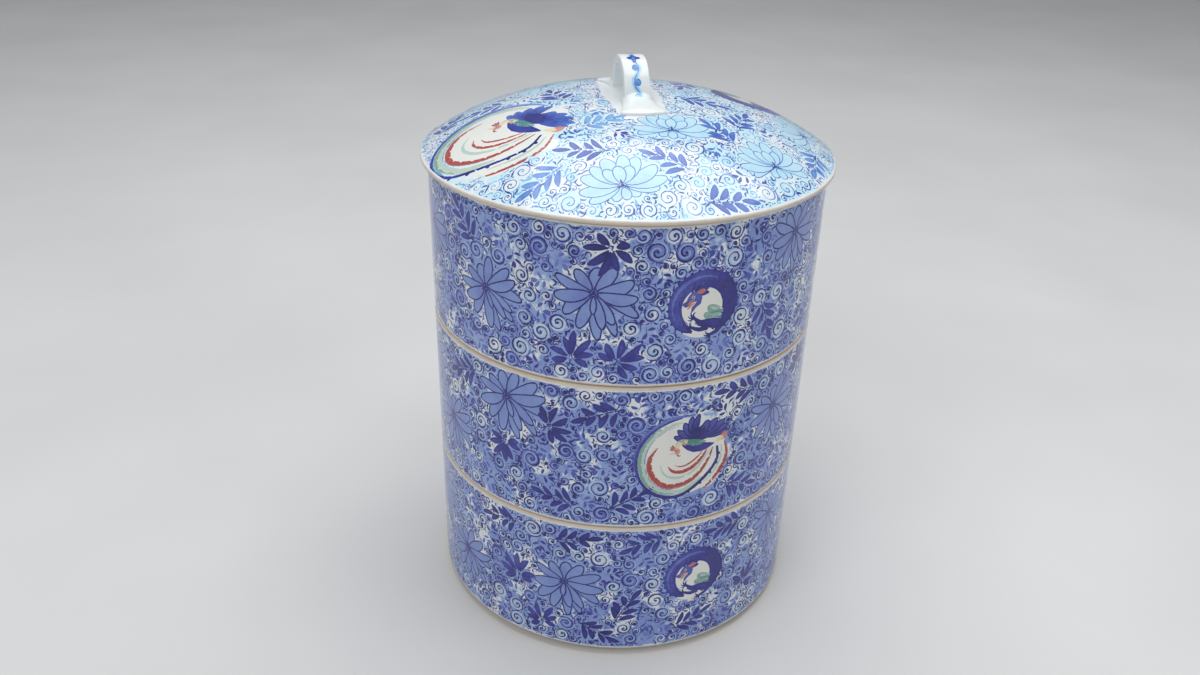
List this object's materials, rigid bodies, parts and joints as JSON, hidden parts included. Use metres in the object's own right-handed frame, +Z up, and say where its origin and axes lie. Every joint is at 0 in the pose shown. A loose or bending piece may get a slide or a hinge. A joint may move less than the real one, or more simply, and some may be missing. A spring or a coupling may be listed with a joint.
{
  "type": "stacking food box",
  "caption": "Round stacking food box in glazed porcelain: tiers nest by stepped feet under a domed, overhanging lid with an arched strap handle.",
  "frame": {"origin": "centre of the flat foot ring under the lower box, on the surface that the stack stands on", "axes": "+Z up along the stack; the handle's arch runs along Y, from the front (-Y) to the rear (+Y)"},
  "size_m": [0.1758, 0.1758, 0.248],
  "materials": {
    "box_porcelain": "clear glaze over blue brushwork",
    "lid_porcelain": "clear glaze over blue brushwork",
    "handle_porcelain": "clear glaze, nearly bare white"
  },
  "bodies": {
    "lower_tier": {"lower_box": "box_porcelain"},
    "middle_tier": {"middle_box": "box_porcelain"},
    "upper_tier": {"upper_box": "box_porcelain"},
    "lid_with_handle": {"lid": "lid_porcelain", "handle_strap": "handle_porcelain", "handle_pad_front": "handle_porcelain", "handle_pad_rear": "handle_porcelain"}
  },
  "joints": [
    {"name": "middle_box_lift", "type": "slide", "parent": "lower_tier", "child": "middle_tier", "axis": [0, 0, 1], "range_m": [0, 0.085]},
    {"name": "upper_box_lift", "type": "slide", "parent": "middle_tier", "child": "upper_tier", "axis": [0, 0, 1], "range_m": [0, 0.085]},
    {"name": "lid_lift", "type": "slide", "parent": "upper_tier", "child": "lid_with_handle", "axis": [0, 0, 1], "range_m": [0, 0.09]}
  ]
}
